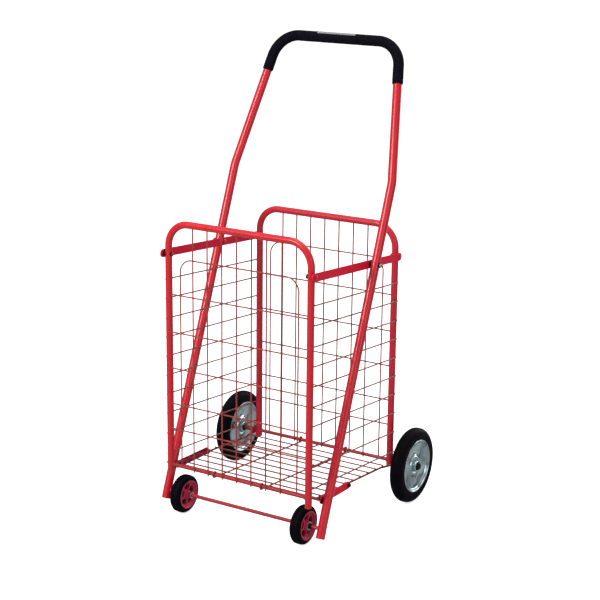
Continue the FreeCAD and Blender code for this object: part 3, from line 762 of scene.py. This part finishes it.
def grip_strip():
    """Plain grey film, wrapped over the top of the bar."""
    centre = mount_place["grip_bar"]
    up = handle_up()
    square = Vector((1.0, 0.0, 0.0)).cross(up)
    left, right = STRIP_SPAN
    half_wrap = math.radians(STRIP_HALF_WRAP)
    columns = 40
    rows = 20
    mesh = bmesh.new()
    skins = []
    for radius in (STRIP_R, STRIP_R - STRIP_T):
        grid = []
        for i in range(columns + 1):
            x = left + (right - left) * i / columns
            middle = centre + Vector((x * MM, 0.0, 0.0))
            line = []
            for j in range(rows + 1):
                angle = half_wrap * (2 * j / rows - 1)
                wave = 0.05 * math.sin(x * 0.35) * math.cos(angle * 3)
                out = up * math.cos(angle) + square * math.sin(angle)
                line.append(mesh.verts.new(middle + out * (radius - abs(wave)) * MM))
            grid.append(line)
        skins.append(grid)
        for i in range(columns):
            for j in range(rows):
                mesh.faces.new((grid[i][j], grid[i + 1][j], grid[i + 1][j + 1], grid[i][j + 1]))
    top, low = skins
    edge_top = grid_outline(top)
    edge_low = grid_outline(low)
    for k in range(len(edge_top)):
        j = (k + 1) % len(edge_top)
        mesh.faces.new((edge_top[k], edge_top[j], edge_low[j], edge_low[k]))
    finish_mesh("handle_grip_strip", mesh, STRIP, "handle", sharp=40)


grip_piece()
grip_strip()


# ------------------------------------------------------------ weld beads
def bead(mesh, place, size):
    """Small uneven lump of weld; size is its half widths in mm along x, y and z."""
    made = bmesh.ops.create_icosphere(mesh, subdivisions=2, radius=1.0)
    for vert in made["verts"]:
        lump = 1.0 + 0.12 * noise.noise(vert.co * 1.7 + place * 900.0)
        stretched = Vector((vert.co.x * size[0], vert.co.y * size[1], vert.co.z * size[2]))
        vert.co = place + stretched * lump * MM


def middles(node):
    return [(low + high) / 2 for low, high in loose_parts(node)]


FRAME_TUBE_R = 7.5
RAIL_R = 4.0
WIRE_WELD_IN = 7.3         # from a leg's axis to the welds of the crosswires
RAIL_WELD_IN = 7.2         # and to the ring of weld around the rail
RAIL_WELD_R = 4.2
RAIL_WELD_BEADS = 10
TOP_WELD_UP = 0.6          # welds above the ends of the uprights


def frame_welds(prefix, rail_node):
    """Nuggets where the grid wires cross, and where they meet the rail, the top bar and the legs."""
    uprights = loose_parts(prefix + "_uprights")
    cross = middles(prefix + "_crosswires")
    tube_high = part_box(prefix + "_frame_tube")[1]
    hoop_low, hoop_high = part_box(prefix + "_hoop")
    rail_low, rail_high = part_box(rail_node)
    rail_y = (rail_low.y + rail_high.y) / 2
    rail_z = (rail_low.z + rail_high.z) / 2
    leg_x = tube_high.x - FRAME_TUBE_R * MM
    wire_r = (hoop_high.y - hoop_low.y) / 2
    hoop_x = hoop_high.x - wire_r
    hoop_y = (hoop_low.y + hoop_high.y) / 2
    mesh = bmesh.new()
    for low, high in uprights:
        wire = (low + high) / 2
        for bar in cross:
            bead(mesh, Vector((wire.x, (wire.y + bar.y) / 2, bar.z)), (1.75, 1.7, 1.75))
        bead(mesh, Vector((wire.x, wire.y + wire_r, rail_z)), (1.9, 1.2, 2.4))
        bead(mesh, Vector((wire.x, wire.y + wire_r, high.z + TOP_WELD_UP * MM)), (2.1, 1.6, 1.5))
    for bar in cross:
        for side in (-1.0, 1.0):
            bead(mesh, Vector((side * (leg_x - WIRE_WELD_IN * MM), bar.y, bar.z)), (1.5, 1.9, 1.9))
            bead(mesh, Vector((side * hoop_x, (bar.y + hoop_y) / 2, bar.z)), (1.7, 1.6, 1.7))
    for side in (-1.0, 1.0):
        bead(mesh, Vector((side * hoop_x, hoop_y, rail_z + RAIL_R * MM)), (2.1, 2.1, 1.5))
        for turn in range(RAIL_WELD_BEADS):
            angle = 2 * math.pi * turn / RAIL_WELD_BEADS
            y = rail_y + RAIL_WELD_R * MM * math.sin(angle)
            z = rail_z + RAIL_WELD_R * MM * math.cos(angle)
            bead(mesh, Vector((side * (leg_x - RAIL_WELD_IN * MM), y, z)), (1.7, 1.6, 1.6))
    body = prefix + "_frame"
    finish_mesh(prefix + "_frame_welds", mesh, GRID_RED, body, sharp=80)


SIDE_ROD_X = 178.5         # axis of the floor's side rods
TIE_WELD_DOWN = 1.4        # from a floor wire's axis toward the tie under it
ROD_WELD_DOWN = 1.3        # and toward the side rod


def floor_welds():
    """Nuggets where the floor wires lie on the two ties and the side rods."""
    wires = middles("floor_crosswires")
    tie_x = [box.x for box in middles("floor_ties")]
    slope = joint_place["fold"] - joint_place["front_frame_swing"]
    down = Vector((0.0, slope.z, -slope.y)).normalized()
    mesh = bmesh.new()
    for wire in wires:
        for x in tie_x:
            bead(mesh, Vector((x, wire.y, wire.z)) + down * TIE_WELD_DOWN * MM, (2.0, 1.9, 1.5))
        for side in (-1.0, 1.0):
            place = Vector((side * SIDE_ROD_X * MM, wire.y, wire.z))
            bead(mesh, place + down * ROD_WELD_DOWN * MM, (2.2, 1.9, 1.5))
    finish_mesh("floor_welds", mesh, GRID_RED, "floor_panel", sharp=80)


frame_welds("front", "front_rail")
frame_welds("rear", "rear_axle")
floor_welds()


# ------------------------------------------------------------ stage, lights, camera
def camera_only(tree, bright, dim):
    """Bright where it is looked at directly, dim (a number or a socket) as a light source."""
    path = tree.nodes.new("ShaderNodeLightPath")
    mix = tree.nodes.new("ShaderNodeMix")
    if isinstance(dim, float):
        mix.inputs["A"].default_value = dim
    else:
        tree.links.new(dim, mix.inputs["A"])
    mix.inputs["B"].default_value = bright
    tree.links.new(path.outputs["Is Camera Ray"], mix.inputs["Factor"])
    return mix.outputs["Result"]


def make_stage():
    """White floor and backdrop; as a light source, the floor is dim and the backdrop fades downward."""
    mesh = bmesh.new()
    bmesh.ops.create_grid(mesh, x_segments=1, y_segments=1, size=14.0)
    data = bpy.data.meshes.new("floor")
    mesh.to_mesh(data)
    mesh.free()
    paint = Paint("floor_white", (0.80, 0.80, 0.80), 0.95, Specular_IOR_Level=0.1)
    paint.shader.inputs["Emission Color"].default_value = (1.0, 1.0, 1.0, 1.0)
    paint.link(camera_only(paint.tree, 0.80, 0.36), paint.shader.inputs["Base Color"])
    paint.link(camera_only(paint.tree, 0.74, 0.03), paint.shader.inputs["Emission Strength"])
    data.materials.append(paint.material)
    floor = bpy.data.objects.new("floor", data)
    bpy.context.scene.collection.objects.link(floor)
    world = bpy.data.worlds.new("studio")
    world.use_nodes = True
    background = world.node_tree.nodes["Background"]
    background.inputs["Color"].default_value = (1.0, 1.0, 1.0, 1.0)
    tree = world.node_tree
    place = tree.nodes.new("ShaderNodeTexCoord")
    split = tree.nodes.new("ShaderNodeSeparateXYZ")
    fade = tree.nodes.new("ShaderNodeMapRange")
    for socket, number in zip(RANGE_SOCKETS, (-0.05, 0.75, 0.10, 0.60)):
        fade.inputs[socket].default_value = number
    tree.links.new(place.outputs["Generated"], split.inputs["Vector"])
    tree.links.new(split.outputs["Z"], fade.inputs["Value"])
    strength = camera_only(tree, 1.0, fade.outputs["Result"])
    tree.links.new(strength, background.inputs["Strength"])
    bpy.context.scene.world = world


def area_light(name, place, aim, size, power, colour=(1, 1, 1)):
    light = bpy.data.lights.new(name, "AREA")
    light.shape = "RECTANGLE"
    light.size, light.size_y = size
    light.energy = power
    light.color = colour
    lamp = bpy.data.objects.new(name, light)
    lamp.location = place
    lamp.rotation_euler = (Vector(aim) - Vector(place)).to_track_quat("-Z", "Y").to_euler()
    bpy.context.scene.collection.objects.link(lamp)


def make_camera():
    """Long lens from the front and right, a little above, with a slight roll."""
    target = Vector((-0.0011, -0.0503, 0.4796))
    azimuth = math.radians(32.51)
    elevation = math.radians(15.24)
    distance = 3.3533
    away = Vector((math.sin(azimuth) * math.cos(elevation), -math.cos(azimuth) * math.cos(elevation),
                   math.sin(elevation)))
    lens = bpy.data.cameras.new("camera")
    lens.lens = 94.28
    lens.sensor_width = 36.0
    lens.shift_x = 0.0369
    lens.shift_y = -0.0052
    lens.clip_end = 100.0
    camera = bpy.data.objects.new("camera", lens)
    look = (-away).to_track_quat("-Z", "Y").to_matrix().to_4x4()
    roll = Matrix.Rotation(math.radians(0.42), 4, "Z")
    camera.matrix_world = Matrix.Translation(target + away * distance) @ look @ roll
    bpy.context.scene.collection.objects.link(camera)
    bpy.context.scene.camera = camera


make_stage()
area_light("key", (-0.9, -3.0, 2.2), (0, 0, 0.5), (1.2, 1.2), 95, (1.0, 0.93, 0.86))
area_light("fill", (3.4, -1.4, 1.2), (0, 0, 0.4), (1.4, 2.0), 22, (0.90, 0.95, 1.0))
area_light("back", (0.8, 3.2, 2.6), (0, 0, 0.5), (2.4, 1.6), 40)
area_light("low_back", (0.7, 3.5, 0.8), (0.2, 0, 0.2), (1.6, 1.2), 16)
area_light("top", (0.0, 0.2, 3.6), (0, 0, 0.0), (2.6, 2.6), 45)
make_camera()
bpy.context.scene.view_settings.view_transform = "Standard"
